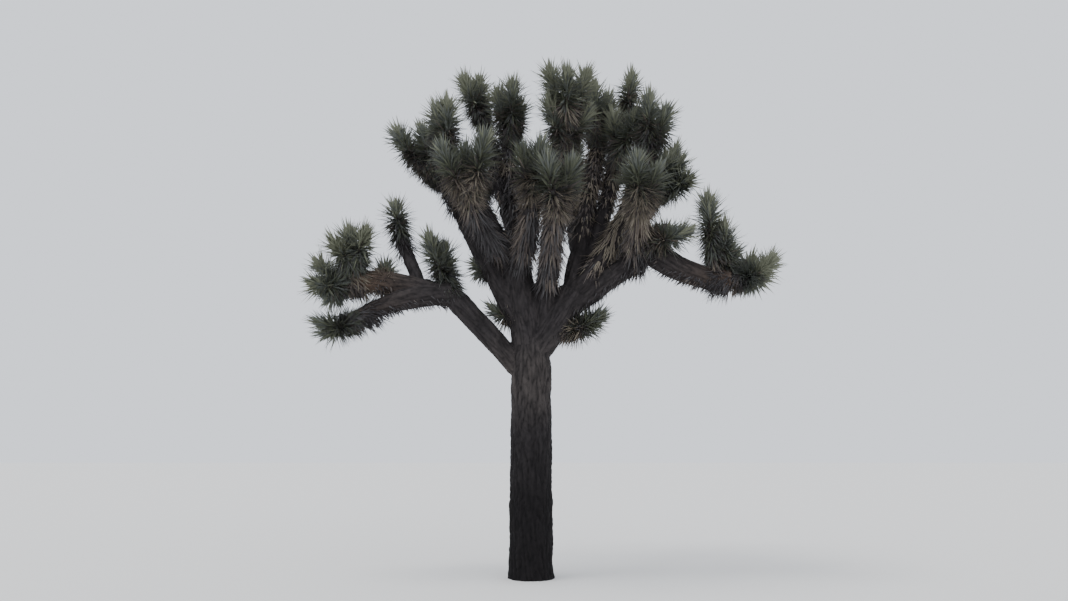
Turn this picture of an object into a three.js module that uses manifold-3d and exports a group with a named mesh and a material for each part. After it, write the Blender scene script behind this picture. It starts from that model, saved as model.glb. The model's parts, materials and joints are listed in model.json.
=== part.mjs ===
// Joshua tree: a stout trunk that forks about three metres up into spreading boughs, each ending in
// rosettes of stiff dagger leaves. Sizes are in millimetres and angles in degrees, +Z is up, and the
// origin is the middle of the trunk's flat cut at ground level.

import * as THREE from 'three';
import Module from 'manifold-3d';

const wasm = await Module();
wasm.setup();

// Clear gap left where two solids meet.
const CLEARANCE = 0.35;

// The trunk: its radius at each height, from the root flare to the fork.
const TRUNK = {
  height: 3100,
  profile: [[0, 318], [90, 300], [300, 289], [1200, 281], [2300, 277], [2800, 284], [3100, 292]],
  sides: 16,
};

// Boughs. Each grows from a share of its parent's length to a tip at [bearing, reach, height] about
// the trunk's axis, where bearing 0 is +X and 90 is +Y. Sag is how far its middle hangs below a
// straight line, as a share of its length, and is negative where the bough arches. Radius is given
// at its base and at its tip.
const BOUGHS = {
  left_stem: { from: 'trunk', at: 0.95, tip: [180, 200, 4200], sag: 0.04, radius: [245, 200] },
  right_stem: { from: 'trunk', at: 0.95, tip: [0, 580, 3850], sag: 0.04, radius: [240, 200] },
  left_low_bough: { from: 'trunk', at: 0.83, tip: [183, 1130, 3810], sag: -0.02, radius: [146, 160] },
  left_low_arm: {
    from: 'left_low_bough', at: 1, tip: [187, 2410, 3400], sag: -0.17, radius: [188, 104],
  },
  left_end_arm: {
    from: 'left_low_arm', at: 0.15, tip: [182, 2570, 3990], sag: -0.08, radius: [162, 160],
  },
  left_upright_bough: {
    from: 'left_low_arm', at: 0.27, tip: [178, 1880, 4690], sag: 0.1, radius: [92, 84],
  },
  left_outer_bough: {
    from: 'left_stem', at: 0.26, tip: [172, 1220, 5420], sag: 0.01, radius: [190, 100],
  },
  left_bough: { from: 'left_stem', at: 0.85, tip: [204, 1250, 5550], sag: -0.13, radius: [140, 100] },
  left_mid_bough: { from: 'left_stem', at: 1, tip: [128, 550, 6150], sag: 0.02, radius: [150, 100] },
  left_top_bough: {
    from: 'left_mid_bough', at: 0.2, tip: [133, 1020, 6510], sag: -0.05, radius: [110, 90],
  },
  front_left_bough: {
    from: 'left_bough', at: 0.2, tip: [233, 1320, 4800], sag: 0.15, radius: [120, 100],
  },
  front_mid_bough: {
    from: 'left_stem', at: 0.97, tip: [271, 930, 4820], sag: 0.15, radius: [152, 115],
  },
  back_left_bough: {
    from: 'left_stem', at: 0.75, tip: [118, 1880, 5700], sag: 0.04, radius: [140, 100],
  },
  back_left_low_bough: {
    from: 'left_stem', at: 0.4, tip: [102, 1920, 4980], sag: 0.08, radius: [140, 100],
  },
  centre_bough: { from: 'right_stem', at: 0.2, tip: [334, 530, 6170], sag: 0, radius: [165, 120] },
  front_centre_bough: {
    from: 'centre_bough', at: 0.25, tip: [286, 1120, 4660], sag: 0.1, radius: [140, 125],
  },
  centre_right_bough: {
    from: 'right_stem', at: 1, tip: [31, 1190, 6220], sag: -0.02, radius: [155, 105],
  },
  right_bough: { from: 'right_stem', at: 0.9, tip: [355, 1660, 5640], sag: 0.19, radius: [160, 110] },
  right_top_bough: {
    from: 'right_bough', at: 0.25, tip: [31, 1650, 6480], sag: 0.02, radius: [130, 95],
  },
  right_outer_bough: {
    from: 'right_bough', at: 0.55, tip: [15, 2000, 5500], sag: 0.03, radius: [115, 95],
  },
  right_low_bough: {
    from: 'right_stem', at: 0.57, tip: [357, 1700, 4410], sag: -0.06, radius: [156, 155],
  },
  front_right_bough: {
    from: 'right_low_bough', at: 0.8, tip: [330, 1680, 4830], sag: 0.01, radius: [120, 100],
  },
  right_low_arm: {
    from: 'right_low_bough', at: 1, tip: [357, 2780, 3980], sag: 0.16, radius: [188, 140],
  },
  back_right_bough: {
    from: 'right_bough', at: 0.35, tip: [42, 2520, 5620], sag: 0.06, radius: [130, 100],
  },
  back_mid_bough: {
    from: 'centre_right_bough', at: 0.25, tip: [70, 1900, 6050], sag: 0.06, radius: [130, 100],
  },
  back_low_bough: {
    from: 'right_stem', at: 0.75, tip: [52, 2400, 4800], sag: 0.06, radius: [140, 100],
  },
};

// Masses. Each has one stem from a share of its bough, aimed at [bearing, rise] or on along the bough
// where it has no aim. The stem ends in a fan of [shoots, spread, roll], and every shoot is a head of
// leaves.
const MASSES = {
  left_low_heads: {
    from: 'left_low_arm', at: 1, aim: [183, -30], stem: 100, fan: [2, 11, 275], shoot: 380,
  },
  left_end_heads: {
    from: 'left_end_arm', at: 1, aim: [180, -21], stem: 70, fan: [3, 37, 330], shoot: 450,
  },
  left_end_top_heads: {
    from: 'left_end_arm', at: 0.9, aim: [258, 58], stem: 270, fan: [3, 39, 300], shoot: 460,
  },
  left_small_head: {
    from: 'left_end_arm', at: 0.6, aim: [97, 31], stem: 50, fan: [1, 0, 0], shoot: 320,
  },
  left_upright_head: {
    from: 'left_upright_bough', at: 1, aim: [208, 75], stem: 50, fan: [1, 0, 0], shoot: 440,
  },
  left_elbow_head: {
    from: 'left_low_bough', at: 0.96, aim: [187, 68], stem: 160, fan: [2, 13, 240], shoot: 630,
  },
  left_outer_heads: {
    from: 'left_outer_bough', at: 1, aim: [150, 47], stem: 310, fan: [3, 19, 220], shoot: 900,
  },
  left_side_head: {
    from: 'left_outer_bough', at: 0.42, aim: [126, 18], stem: 140, fan: [1, 0, 0], shoot: 380,
  },
  left_foot_head: {
    from: 'left_outer_bough', at: 0.1, aim: [161, 6], stem: 50, fan: [1, 0, 0], shoot: 380,
  },
  left_heads: { from: 'left_bough', at: 1, aim: [184, 80], stem: 140, fan: [2, 14, 330], shoot: 650 },
  left_mid_heads: {
    from: 'left_mid_bough', at: 1, aim: [350, 85], stem: 210, fan: [3, 23, 340], shoot: 670,
  },
  left_top_heads: {
    from: 'left_top_bough', at: 1, aim: [186, 72], stem: 330, fan: [2, 21, 40], shoot: 580,
  },
  front_left_heads: {
    from: 'front_left_bough', at: 1, aim: [203, 83], stem: 100, fan: [3, 29, 150], shoot: 700,
  },
  front_mid_heads: {
    from: 'front_mid_bough', at: 1, aim: [126, 88], stem: 170, fan: [2, 15, 45], shoot: 610,
  },
  back_left_heads: { from: 'back_left_bough', at: 1, stem: 150, fan: [3, 40, 10], shoot: 700 },
  back_left_low_heads: { from: 'back_left_low_bough', at: 1, stem: 150, fan: [2, 40, 40], shoot: 650 },
  centre_heads: {
    from: 'centre_bough', at: 1, aim: [276, 63], stem: 170, fan: [3, 34, 150], shoot: 660,
  },
  front_centre_heads: {
    from: 'front_centre_bough', at: 1, aim: [335, 82], stem: 70, fan: [2, 24, 205], shoot: 650,
  },
  centre_right_heads: {
    from: 'centre_right_bough', at: 1, aim: [35, 88], stem: 140, fan: [3, 18, 40], shoot: 750,
  },
  right_top_head: {
    from: 'right_top_bough', at: 1, aim: [334, 76], stem: 150, fan: [1, 0, 0], shoot: 800,
  },
  right_heads: { from: 'right_bough', at: 1, aim: [55, 74], stem: 320, fan: [3, 25, 80], shoot: 690 },
  front_right_heads: {
    from: 'front_right_bough', at: 1, aim: [353, 88], stem: 50, fan: [3, 29, 255], shoot: 490,
  },
  right_outer_heads: {
    from: 'right_outer_bough', at: 1, aim: [296, 14], stem: 90, fan: [3, 29, 250], shoot: 490,
  },
  right_end_heads: {
    from: 'right_low_arm', at: 1, aim: [33, 15], stem: 320, fan: [3, 23, 255], shoot: 430,
  },
  right_arm_heads: {
    from: 'right_low_arm', at: 0.9, aim: [64, 65], stem: 220, fan: [2, 49, 265], shoot: 510,
  },
  right_side_heads: {
    from: 'front_right_bough', at: 0.45, aim: [23, 0], stem: 210, fan: [2, 32, 350], shoot: 510,
  },
  right_foot_heads: {
    from: 'right_stem', at: 0.45, aim: [16, 0], stem: 230, fan: [2, 24, 195], shoot: 490,
  },
  back_right_heads: {
    from: 'back_right_bough', at: 1, aim: [28, 64], stem: 180, fan: [3, 38, 350], shoot: 900,
  },
  back_mid_heads: { from: 'back_mid_bough', at: 1, stem: 150, fan: [3, 40, 70], shoot: 700 },
  back_low_heads: { from: 'back_low_bough', at: 1, stem: 150, fan: [3, 45, 20], shoot: 650 },
  right_arm_top_head: {
    from: 'right_low_arm', at: 0.82, aim: [231, 82], stem: 340, fan: [1, 0, 0], shoot: 800,
  },
  centre_low_heads: {
    from: 'centre_bough', at: 0.85, aim: [307, 74], stem: 250, fan: [2, 39, 195], shoot: 650,
  },
  right_top_low_heads: {
    from: 'right_top_bough', at: 0.7, aim: [292, 56], stem: 350, fan: [2, 25, 240], shoot: 660,
  },
};

// A bough is swept with this many sides and steps.
const BOUGH = { sides: 7, steps: 3 };

// A head: a shoot that turns upward, by a lift added to its direction. It is thatched with dead leaves
// below and leafy above. Its radius is given at its neck, at the skirt of dead leaves, at its belly and
// at its crown, and a shoot shorter than a full-grown one is slimmer to match.
const HEAD = {
  sides: 5,
  lift: 0.35,
  leafy: 500,
  leafyShare: 0.8,
  fullGrown: 400,
  neck: 72,
  skirt: 118,
  belly: 152,
  bellyAt: 0.55,
  crown: 84,
  stemShare: 0.8,
  widestStem: 100,
};

// How far the shoots of one mass differ: in turn, and in tilt and length as shares.
const VARIETY = { turn: 30, tilt: 0.4, length: 0.3 };

// A leaf stands for a spray of the real ones: a three-sided dagger, flat above and keeled below,
// measured from the middle of its shoot. It lies flatter to the shoot the higher it grows.
const LEAF = {
  perHead: 9,
  length: 282,
  shortening: 0.12,
  width: 120,
  keel: 36,
  widestAt: 0.16,
  lowTilt: 98,
  highTilt: 14,
  lowest: 0.02,
  highest: 0.92,
  margin: 1,
};
const GOLDEN_ANGLE = 137.508;

// The series that the shoots' differences come from.
const SERIES = { firstState: 17, seedStep: 7919, multiplier: 16807, modulus: 2147483647 };

// An axis whose level part is shorter than this counts as upright.
const UPRIGHT = 1e-4;

const BARK = { color: 0x3f3833, roughness: 0.95 };
const FOLIAGE = { color: 0x4f5b43, roughness: 0.7 };

const UP = new THREE.Vector3(0, 0, 1);
const radians = THREE.MathUtils.degToRad;

// Directions and points.

function direction(bearing, rise) {
  const level = Math.cos(radians(rise));
  const turn = radians(bearing);
  return new THREE.Vector3(Math.cos(turn) * level, Math.sin(turn) * level, Math.sin(radians(rise)));
}

function along(start, way, distance) {
  return start.clone().addScaledVector(way, distance);
}

// Two directions square to an axis and to each other. Turning from the first to the second is
// counter-clockwise for someone the axis points at.
function crossAxes(axis) {
  const level = new THREE.Vector3().crossVectors(axis, UP);
  if (level.length() < UPRIGHT) {
    level.set(1, 0, 0);
  }
  level.normalize();
  return { level, upper: new THREE.Vector3().crossVectors(level, axis).normalize() };
}

// A repeatable series of numbers between 0 and 1, each number worked out from the one before.
function series(seed) {
  let state = seed * SERIES.seedStep + SERIES.firstState;
  const next = () => {
    state = (state * SERIES.multiplier) % SERIES.modulus;
    return state / SERIES.modulus;
  };
  next();
  next();
  return next;
}

// Closed bodies.

function body(points, faces) {
  const vertProperties = new Float32Array(points.flatMap((point) => point.toArray()));
  const triVerts = new Uint32Array(faces.flat());
  return new wasm.Manifold(new wasm.Mesh({ numProp: 3, vertProperties, triVerts }));
}

function ring(centre, axis, radius, sides) {
  const { level, upper } = crossAxes(axis);
  return Array.from({ length: sides }, (_, side) => {
    const angle = (2 * Math.PI * side) / sides;
    return along(along(centre, upper, radius * Math.cos(angle)), level, radius * Math.sin(angle));
  });
}

// Skin over rings that have the same number of points, with a flat face at each end.
function loft(rings) {
  const sides = rings[0].length;
  const faces = [];
  for (let level = 0; level + 1 < rings.length; level += 1) {
    for (let side = 0; side < sides; side += 1) {
      const low = level * sides;
      const next = (side + 1) % sides;
      faces.push([low + side, low + next, low + sides + next]);
      faces.push([low + side, low + sides + next, low + sides + side]);
    }
  }
  const top = (rings.length - 1) * sides;
  for (let side = 1; side + 1 < sides; side += 1) {
    faces.push([0, side + 1, side]);
    faces.push([top, top + side, top + side + 1]);
  }
  return body(rings.flat(), faces);
}

// A tube along a curve through stations of [share, radius], from share 0 to share 1. Growth thickens it
// and moves both its ends outward.
function tube(curve, stations, sides, growth = 0) {
  const endShift = { 0: -growth, 1: growth };
  return loft(stations.map(([share, radius]) => {
    const axis = curve.getTangent(share);
    const centre = along(curve.getPoint(share), axis, endShift[share] ?? 0);
    return ring(centre, axis, radius + growth, sides);
  }));
}

// A leaf from its root, with its flat face turned to the given side.
function dagger(root, way, face, leafLength, growth = 0) {
  const across = new THREE.Vector3().crossVectors(face, way).normalize();
  const middle = along(root, way, leafLength * LEAF.widestAt);
  const halfWidth = LEAF.width / 2 + growth;
  const points = [
    along(along(middle, across, halfWidth), face, growth),
    along(along(middle, across, -halfWidth), face, growth),
    along(middle, face, -LEAF.keel - growth),
    root,
    along(root, way, leafLength + growth),
  ];
  return body(points, [[0, 1, 4], [1, 2, 4], [2, 0, 4], [1, 0, 3], [2, 1, 3], [0, 2, 3]]);
}

// The largest body of a solid: sealed hollows are filled and loose scraps dropped.
function mainBody(solid) {
  const bodies = solid.decompose();
  return bodies.reduce((largest, one) => (one.volume() > largest.volume() ? one : largest));
}

function boxesMeet(one, other) {
  const first = one.boundingBox();
  const second = other.boundingBox();
  const meetAlong = (axis) => first.min[axis] <= second.max[axis] && second.min[axis] <= first.max[axis];
  return [0, 1, 2].every(meetAlong);
}

function touches(one, other) {
  return boxesMeet(one, other) && !one.intersect(other).isEmpty();
}

// What is left of a solid once the given neighbours are cut out of it.
function clearOf(solid, neighbours) {
  const near = neighbours.filter((other) => boxesMeet(solid, other));
  return mainBody(near.reduce((left, other) => left.subtract(other), solid));
}

// Limbs.

function trunkLimb() {
  const curve = new THREE.LineCurve3(new THREE.Vector3(), new THREE.Vector3(0, 0, TRUNK.height));
  const stations = TRUNK.profile.map(([height, radius]) => [height / TRUNK.height, radius]);
  return { curve, stations, sides: TRUNK.sides };
}

function boughLimb(parent, { at, tip, sag, radius }) {
  const [bearing, reach, height] = tip;
  const start = parent.curve.getPoint(at);
  const end = direction(bearing, 0).multiplyScalar(reach).setZ(height);
  const middle = start.clone().lerp(end, 0.5).setZ((start.z + end.z) / 2 - sag * start.distanceTo(end));
  const stations = Array.from({ length: BOUGH.steps + 1 }, (_, step) => {
    const share = step / BOUGH.steps;
    return [share, THREE.MathUtils.lerp(radius[0], radius[1], share)];
  });
  return { curve: new THREE.QuadraticBezierCurve3(start, middle, end), stations, sides: BOUGH.sides };
}

function allLimbs() {
  const limbs = { trunk: trunkLimb() };
  for (const [name, bough] of Object.entries(BOUGHS)) {
    limbs[name] = boughLimb(limbs[bough.from], bough);
  }
  return limbs;
}

function radiusAt(limb, share) {
  const last = limb.stations.length - 1;
  const upper = Math.max(1, limb.stations.findIndex(([station]) => station >= share));
  const [lowShare, lowRadius] = limb.stations[upper - 1];
  const [highShare, highRadius] = limb.stations[Math.min(upper, last)];
  return THREE.MathUtils.mapLinear(share, lowShare, highShare, lowRadius, highRadius);
}

// Masses.

// A shoot leaves the fork one way and turns upward on its way to its tip.
function shootCurve(fork, way, shootLength) {
  const turned = way.clone().setZ(way.z + HEAD.lift).normalize();
  return new THREE.QuadraticBezierCurve3(
    fork,
    along(fork, way, shootLength / 2),
    along(fork, turned, shootLength),
  );
}

// The stem and shoots of a mass. Its seed is its place in the list.
function massPlan(limb, mass, seed) {
  const [heads, spread, roll] = mass.fan;
  const root = limb.curve.getPoint(mass.at);
  const way = mass.aim ? direction(...mass.aim) : limb.curve.getTangent(mass.at);
  const fork = along(root, way, mass.stem);
  const { level, upper } = crossAxes(way);
  const next = series(seed);
  const shoots = Array.from({ length: heads }, (_, head) => {
    const turn = radians(roll + (360 * head) / heads + (next() - 0.5) * VARIETY.turn);
    const evenTilt = heads > 1 ? 1 - VARIETY.tilt / 2 + VARIETY.tilt * next() : 1;
    const tilt = radians(spread * evenTilt);
    const shootLength = mass.shoot * (1 - VARIETY.length / 2 + VARIETY.length * next());
    const outward = along(level.clone().multiplyScalar(Math.cos(turn)), upper, Math.sin(turn));
    const heading = along(way.clone().multiplyScalar(Math.cos(tilt)), outward, Math.sin(tilt));
    const girth = Math.min(1, shootLength / HEAD.fullGrown);
    return { curve: shootCurve(fork, heading, shootLength), shootLength, girth };
  });
  const stemRadius = Math.min(HEAD.widestStem, HEAD.stemShare * radiusAt(limb, mass.at));
  return { root, way, fork, stemRadius, shoots };
}

function leafyStart({ shootLength }) {
  return 1 - Math.min(HEAD.leafy / shootLength, HEAD.leafyShare);
}

function shootBody(shoot, growth) {
  const start = leafyStart(shoot);
  const belly = THREE.MathUtils.lerp(start, 1, HEAD.bellyAt);
  const stations = [[0, HEAD.neck], [start, HEAD.skirt], [belly, HEAD.belly], [1, HEAD.crown]];
  const slimmed = stations.map(([share, radius]) => [share, radius * shoot.girth]);
  return tube(shoot.curve, slimmed, HEAD.sides, growth);
}

// The stem runs a little way into the fork, so that the shoots share one foot.
function massCore({ root, way, fork, stemRadius, shoots }, growth = 0) {
  const stem = new THREE.LineCurve3(root, along(fork, way, HEAD.neck / 2));
  const stemBody = tube(stem, [[0, stemRadius], [1, HEAD.neck]], HEAD.sides, growth);
  return shoots.reduce((core, shoot) => core.add(shootBody(shoot, growth)), stemBody);
}

// Leaves of a shoot, each turned by the golden angle from the one below.
function leavesOf(shoot, firstTurn, growth) {
  const start = leafyStart(shoot);
  return Array.from({ length: LEAF.perHead }, (_, leaf) => {
    const height = (leaf + 0.5) / LEAF.perHead;
    const share = THREE.MathUtils.lerp(start, 1, THREE.MathUtils.lerp(LEAF.lowest, LEAF.highest, height));
    const axis = shoot.curve.getTangent(share);
    const { level, upper } = crossAxes(axis);
    const turn = radians(firstTurn + leaf * GOLDEN_ANGLE);
    const tilt = radians(THREE.MathUtils.lerp(LEAF.lowTilt, LEAF.highTilt, height));
    const outward = along(level.multiplyScalar(Math.cos(turn)), upper, Math.sin(turn));
    const way = along(axis.clone().multiplyScalar(Math.cos(tilt)), outward, Math.sin(tilt));
    const face = along(axis.clone().multiplyScalar(Math.sin(tilt)), outward, -Math.cos(tilt));
    const leafLength = LEAF.length * shoot.girth * (1 - LEAF.shortening * height);
    return dagger(shoot.curve.getPoint(share), way, face, leafLength, growth);
  });
}

// Fuses onto a core the leaves that stay clear of every neighbour.
function leafyMass(core, { shoots }, neighbours) {
  let leafy = core;
  shoots.forEach((shoot, head) => {
    const leaves = leavesOf(shoot, head * LEAF.perHead, 0);
    const grown = leavesOf(shoot, head * LEAF.perHead, LEAF.margin);
    leaves.forEach((leaf, place) => {
      if (!neighbours.some((other) => touches(grown[place], other))) {
        leafy = leafy.add(leaf);
      }
    });
  });
  return mainBody(leafy);
}

// The tree.

function meshOf(name, solid, { color, roughness }) {
  const { vertProperties, triVerts } = solid.getMesh();
  const geometry = new THREE.BufferGeometry();
  geometry.setAttribute('position', new THREE.BufferAttribute(vertProperties, 3));
  geometry.setIndex(new THREE.BufferAttribute(triVerts, 1));
  geometry.computeVertexNormals();
  const material = new THREE.MeshStandardMaterial({ color, roughness, metalness: 0, flatShading: true });
  const mesh = new THREE.Mesh(geometry, material);
  mesh.name = name;
  return mesh;
}

const limbs = allLimbs();
const limbSolids = {};
const limbCutters = [];
for (const [name, { curve, stations, sides }] of Object.entries(limbs)) {
  limbSolids[name] = clearOf(tube(curve, stations, sides), limbCutters);
  limbCutters.push(tube(curve, stations, sides, CLEARANCE));
}

const plans = {};
const massSolids = {};
const massCutters = [];
Object.entries(MASSES).forEach(([name, mass], place) => {
  plans[name] = massPlan(limbs[mass.from], mass, place + 1);
  massSolids[name] = clearOf(massCore(plans[name]), [...limbCutters, ...massCutters]);
  massCutters.push(massCore(plans[name], CLEARANCE));
});

const massNames = Object.keys(MASSES);
for (const name of massNames) {
  const otherMasses = massNames.filter((other) => other !== name).map((other) => massSolids[other]);
  const neighbours = [...Object.values(limbSolids), ...otherMasses];
  massSolids[name] = leafyMass(massSolids[name], plans[name], neighbours);
}

const tree = new THREE.Group();
for (const [name, solid] of Object.entries(limbSolids)) {
  tree.add(meshOf(name, solid, BARK));
}
for (const [name, solid] of Object.entries(massSolids)) {
  tree.add(meshOf(name, solid, FOLIAGE));
}

export default tree;
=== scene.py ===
"""The looks of a joshua tree: furrowed bark, a thatch of dead leaves and heads of green dagger leaves,
grown on the frame's limbs and masses by the rule of its solids. Sizes are in metres and angles in
degrees."""

import json
import math

import bmesh
import bpy
import numpy as np
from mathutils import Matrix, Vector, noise

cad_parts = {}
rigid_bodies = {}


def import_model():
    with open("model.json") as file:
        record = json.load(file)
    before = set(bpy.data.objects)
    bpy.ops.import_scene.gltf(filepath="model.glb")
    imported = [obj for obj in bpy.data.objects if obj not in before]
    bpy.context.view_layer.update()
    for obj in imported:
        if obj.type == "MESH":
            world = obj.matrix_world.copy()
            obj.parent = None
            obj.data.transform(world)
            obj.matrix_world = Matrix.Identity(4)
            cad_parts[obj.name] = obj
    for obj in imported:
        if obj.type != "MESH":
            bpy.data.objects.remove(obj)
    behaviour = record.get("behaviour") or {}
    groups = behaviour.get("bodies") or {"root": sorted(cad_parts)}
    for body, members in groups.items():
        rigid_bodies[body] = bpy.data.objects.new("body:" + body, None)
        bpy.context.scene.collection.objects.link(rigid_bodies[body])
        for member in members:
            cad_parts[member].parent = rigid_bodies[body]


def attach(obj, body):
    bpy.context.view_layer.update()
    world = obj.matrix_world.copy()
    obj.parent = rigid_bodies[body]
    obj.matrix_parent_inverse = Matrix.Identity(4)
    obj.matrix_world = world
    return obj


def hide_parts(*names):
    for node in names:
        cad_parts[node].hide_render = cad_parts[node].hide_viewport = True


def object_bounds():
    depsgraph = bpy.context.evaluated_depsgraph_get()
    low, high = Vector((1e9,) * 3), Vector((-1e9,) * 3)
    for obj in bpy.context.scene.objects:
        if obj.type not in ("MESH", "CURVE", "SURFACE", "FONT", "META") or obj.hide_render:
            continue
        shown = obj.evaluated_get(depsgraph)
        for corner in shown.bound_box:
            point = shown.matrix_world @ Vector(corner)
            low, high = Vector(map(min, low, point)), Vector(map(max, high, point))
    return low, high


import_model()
cad_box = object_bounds()

# The trunk: its radius at each height, and a rounded top hidden in the fork.
TRUNK = dict(
    height=3.1,
    profile=[(0, 0.318), (0.09, 0.3), (0.3, 0.289), (1.2, 0.281), (2.3, 0.277), (2.8, 0.284), (3.1, 0.24)],
)

# Boughs. Each grows from a share of its parent's length to a tip at (bearing, reach, height) about the
# trunk's axis. Sag is how far its middle hangs below a straight line, as a share of its length, and
# radius is given at its base and at its tip.
BOUGHS = {
    "left_stem": dict(parent="trunk", at=0.95, tip=(180, 0.2, 4.2), sag=0.04, radius=(0.245, 0.2)),
    "right_stem": dict(parent="trunk", at=0.95, tip=(0, 0.58, 3.85), sag=0.04, radius=(0.24, 0.2)),
    "left_low_bough": dict(
        parent="trunk", at=0.83, tip=(183, 1.13, 3.81), sag=-0.02, radius=(0.146, 0.16),
    ),
    "left_low_arm": dict(
        parent="left_low_bough", at=1, tip=(187, 2.41, 3.4), sag=-0.17, radius=(0.188, 0.104),
    ),
    "left_end_arm": dict(
        parent="left_low_arm", at=0.15, tip=(182, 2.57, 3.99), sag=-0.08, radius=(0.162, 0.16),
    ),
    "left_upright_bough": dict(
        parent="left_low_arm", at=0.27, tip=(178, 1.88, 4.69), sag=0.1, radius=(0.092, 0.084),
    ),
    "left_outer_bough": dict(
        parent="left_stem", at=0.26, tip=(172, 1.22, 5.42), sag=0.01, radius=(0.19, 0.1),
    ),
    "left_bough": dict(
        parent="left_stem", at=0.85, tip=(204, 1.25, 5.55), sag=-0.13, radius=(0.14, 0.1),
    ),
    "left_mid_bough": dict(
        parent="left_stem", at=1, tip=(128, 0.55, 6.15), sag=0.02, radius=(0.15, 0.1),
    ),
    "left_top_bough": dict(
        parent="left_mid_bough", at=0.2, tip=(133, 1.02, 6.51), sag=-0.05, radius=(0.11, 0.09),
    ),
    "front_left_bough": dict(
        parent="left_bough", at=0.2, tip=(233, 1.32, 4.8), sag=0.15, radius=(0.12, 0.1),
    ),
    "front_mid_bough": dict(
        parent="left_stem", at=0.97, tip=(271, 0.93, 4.82), sag=0.15, radius=(0.152, 0.115),
    ),
    "back_left_bough": dict(
        parent="left_stem", at=0.75, tip=(118, 1.88, 5.7), sag=0.04, radius=(0.14, 0.1),
    ),
    "back_left_low_bough": dict(
        parent="left_stem", at=0.4, tip=(102, 1.92, 4.98), sag=0.08, radius=(0.14, 0.1),
    ),
    "centre_bough": dict(
        parent="right_stem", at=0.2, tip=(334, 0.53, 6.17), sag=0, radius=(0.165, 0.12),
    ),
    "front_centre_bough": dict(
        parent="centre_bough", at=0.25, tip=(286, 1.12, 4.66), sag=0.1, radius=(0.14, 0.125),
    ),
    "centre_right_bough": dict(
        parent="right_stem", at=1, tip=(31, 1.19, 6.22), sag=-0.02, radius=(0.155, 0.105),
    ),
    "right_bough": dict(
        parent="right_stem", at=0.9, tip=(355, 1.66, 5.64), sag=0.19, radius=(0.16, 0.11),
    ),
    "right_top_bough": dict(
        parent="right_bough", at=0.25, tip=(31, 1.65, 6.48), sag=0.02, radius=(0.13, 0.095),
    ),
    "right_outer_bough": dict(
        parent="right_bough", at=0.55, tip=(15, 2, 5.5), sag=0.03, radius=(0.115, 0.095),
    ),
    "right_low_bough": dict(
        parent="right_stem", at=0.57, tip=(357, 1.7, 4.41), sag=-0.06, radius=(0.156, 0.155),
    ),
    "front_right_bough": dict(
        parent="right_low_bough", at=0.8, tip=(330, 1.68, 4.83), sag=0.01, radius=(0.12, 0.1),
    ),
    "right_low_arm": dict(
        parent="right_low_bough", at=1, tip=(357, 2.78, 3.98), sag=0.16, radius=(0.188, 0.14),
    ),
    "back_right_bough": dict(
        parent="right_bough", at=0.35, tip=(42, 2.52, 5.62), sag=0.06, radius=(0.13, 0.1),
    ),
    "back_mid_bough": dict(
        parent="centre_right_bough", at=0.25, tip=(70, 1.9, 6.05), sag=0.06, radius=(0.13, 0.1),
    ),
    "back_low_bough": dict(
        parent="right_stem", at=0.75, tip=(52, 2.4, 4.8), sag=0.06, radius=(0.14, 0.1),
    ),
}

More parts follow.
